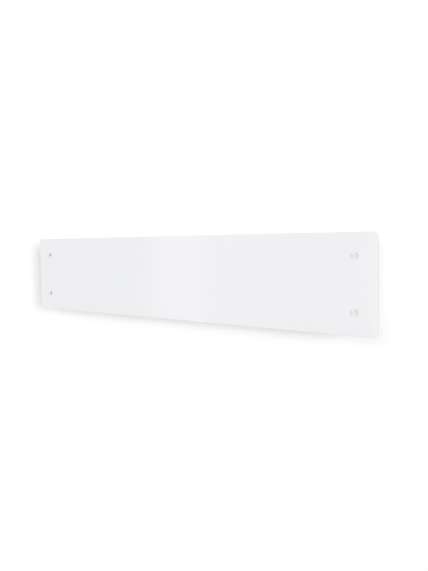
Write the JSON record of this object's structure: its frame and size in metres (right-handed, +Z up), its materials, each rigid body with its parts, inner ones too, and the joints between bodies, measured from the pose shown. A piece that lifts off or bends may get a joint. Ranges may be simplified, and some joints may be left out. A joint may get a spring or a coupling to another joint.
{
  "type": "electric radiator",
  "caption": "Long low wall-hung electric panel heater: white glass front on round metal fixing caps over a slim steel casing with grilles, keys, rocker switch and wall bracket.",
  "frame": {"origin": "back face of the wall bracket's rail, where it lies on the wall, at the middle of the glass's width and height", "axes": "+Z up, +X to the right of a person facing the heater, +Y into the wall, so the glass faces -Y"},
  "size_m": [1.15, 0.089, 0.22],
  "materials": {
    "glass_front": "clear tempered glass, back-painted white, polished edges",
    "cap_steel": "satin turned steel",
    "spacer_rubber": "matt",
    "white_paint": "fine powder coat",
    "white_plastic": "fine moulded grain",
    "zinc_steel": "zinc plated",
    "grey_plastic": "moulded",
    "element_aluminium": "extruded",
    "rod_steel": "heat tinted",
    "bush_ceramic": "matt",
    "black_plastic": "moulded",
    "display_window": "smoked gloss",
    "circuit_board": "solder mask",
    "brown_wire": "silicone sleeve",
    "blue_wire": "silicone sleeve",
    "black_wire": "silicone sleeve"
  },
  "bodies": {
    "heater": {"front_glass": "glass_front", "fixing_cap_left_lower": "cap_steel", "fixing_cap_left_upper": "cap_steel", "fixing_cap_right_lower": "cap_steel", "fixing_cap_right_upper": "cap_steel", "glass_spacer_left_lower": "spacer_rubber", "glass_spacer_left_upper": "spacer_rubber", "glass_spacer_right_lower": "spacer_rubber", "glass_spacer_right_upper": "spacer_rubber", "fixing_nut_left_lower": "zinc_steel", "fixing_nut_left_upper": "zinc_steel", "fixing_nut_right_lower": "zinc_steel", "fixing_nut_right_upper": "zinc_steel", "rear_casing": "white_paint", "front_plate": "white_paint", "end_cap_left": "white_plastic", "end_cap_right": "white_plastic", "cap_screw_left_lower": "zinc_steel", "cap_screw_left_upper": "zinc_steel", "cap_screw_right_lower": "zinc_steel", "cap_screw_right_upper": "zinc_steel", "outlet_grille": "white_paint", "inlet_grille": "white_paint", "bracket_rail": "zinc_steel", "bracket_arm_left": "zinc_steel", "bracket_arm_right": "zinc_steel", "lock_screw_left": "zinc_steel", "lock_screw_right": "zinc_steel", "element_fins": "element_aluminium", "element_rod": "rod_steel", "element_bush_left": "bush_ceramic", "element_bush_right": "bush_ceramic", "element_support_left": "zinc_steel", "element_support_right": "zinc_steel", "partition": "zinc_steel", "cutout_bracket": "zinc_steel", "thermal_cutout": "black_plastic", "control_housing": "white_plastic", "display_window": "display_window", "display_board": "circuit_board", "board_carrier": "black_plastic", "power_board": "circuit_board", "power_relay": "black_plastic", "terminal_block": "grey_plastic", "air_sensor": "black_plastic", "switch_body": "black_plastic", "cable_gland": "black_plastic", "gland_nut": "black_plastic", "supply_wire": "brown_wire", "element_wire_right": "brown_wire", "element_wire_left": "blue_wire", "cutout_wire": "brown_wire", "sensor_wire": "black_wire"},
    "lock_left_body": {"lock_left": "grey_plastic"},
    "lock_right_body": {"lock_right": "grey_plastic"},
    "key_minus_body": {"button_minus": "white_plastic"},
    "key_ok_body": {"button_ok": "white_plastic"},
    "key_plus_body": {"button_plus": "white_plastic"},
    "rocker_body": {"power_rocker": "black_plastic"}
  },
  "joints": [
    {"name": "lock_left_turn", "type": "hinge", "parent": "heater", "child": "lock_left_body", "pos_m": [-0.3, -0.01, 0.094], "axis": [0, 0, -1], "range_deg": [0, 90]},
    {"name": "lock_right_turn", "type": "hinge", "parent": "heater", "child": "lock_right_body", "pos_m": [0.3, -0.01, 0.094], "axis": [0, 0, 1], "range_deg": [0, 90]},
    {"name": "key_minus_press", "type": "slide", "parent": "heater", "child": "key_minus_body", "axis": [0, 0, -1], "range_m": [0, 0.0008], "stiffness_N_per_m": 800, "springref_m": -0.0004},
    {"name": "key_ok_press", "type": "slide", "parent": "heater", "child": "key_ok_body", "axis": [0, 0, -1], "range_m": [0, 0.0008], "stiffness_N_per_m": 800, "springref_m": -0.0004},
    {"name": "key_plus_press", "type": "slide", "parent": "heater", "child": "key_plus_body", "axis": [0, 0, -1], "range_m": [0, 0.0008], "stiffness_N_per_m": 800, "springref_m": -0.0004},
    {"name": "rocker_tilt", "type": "hinge", "parent": "heater", "child": "rocker_body", "pos_m": [0.55, -0.052, -0.05], "axis": [0, 1, 0], "range_deg": [0, 16]}
  ]
}
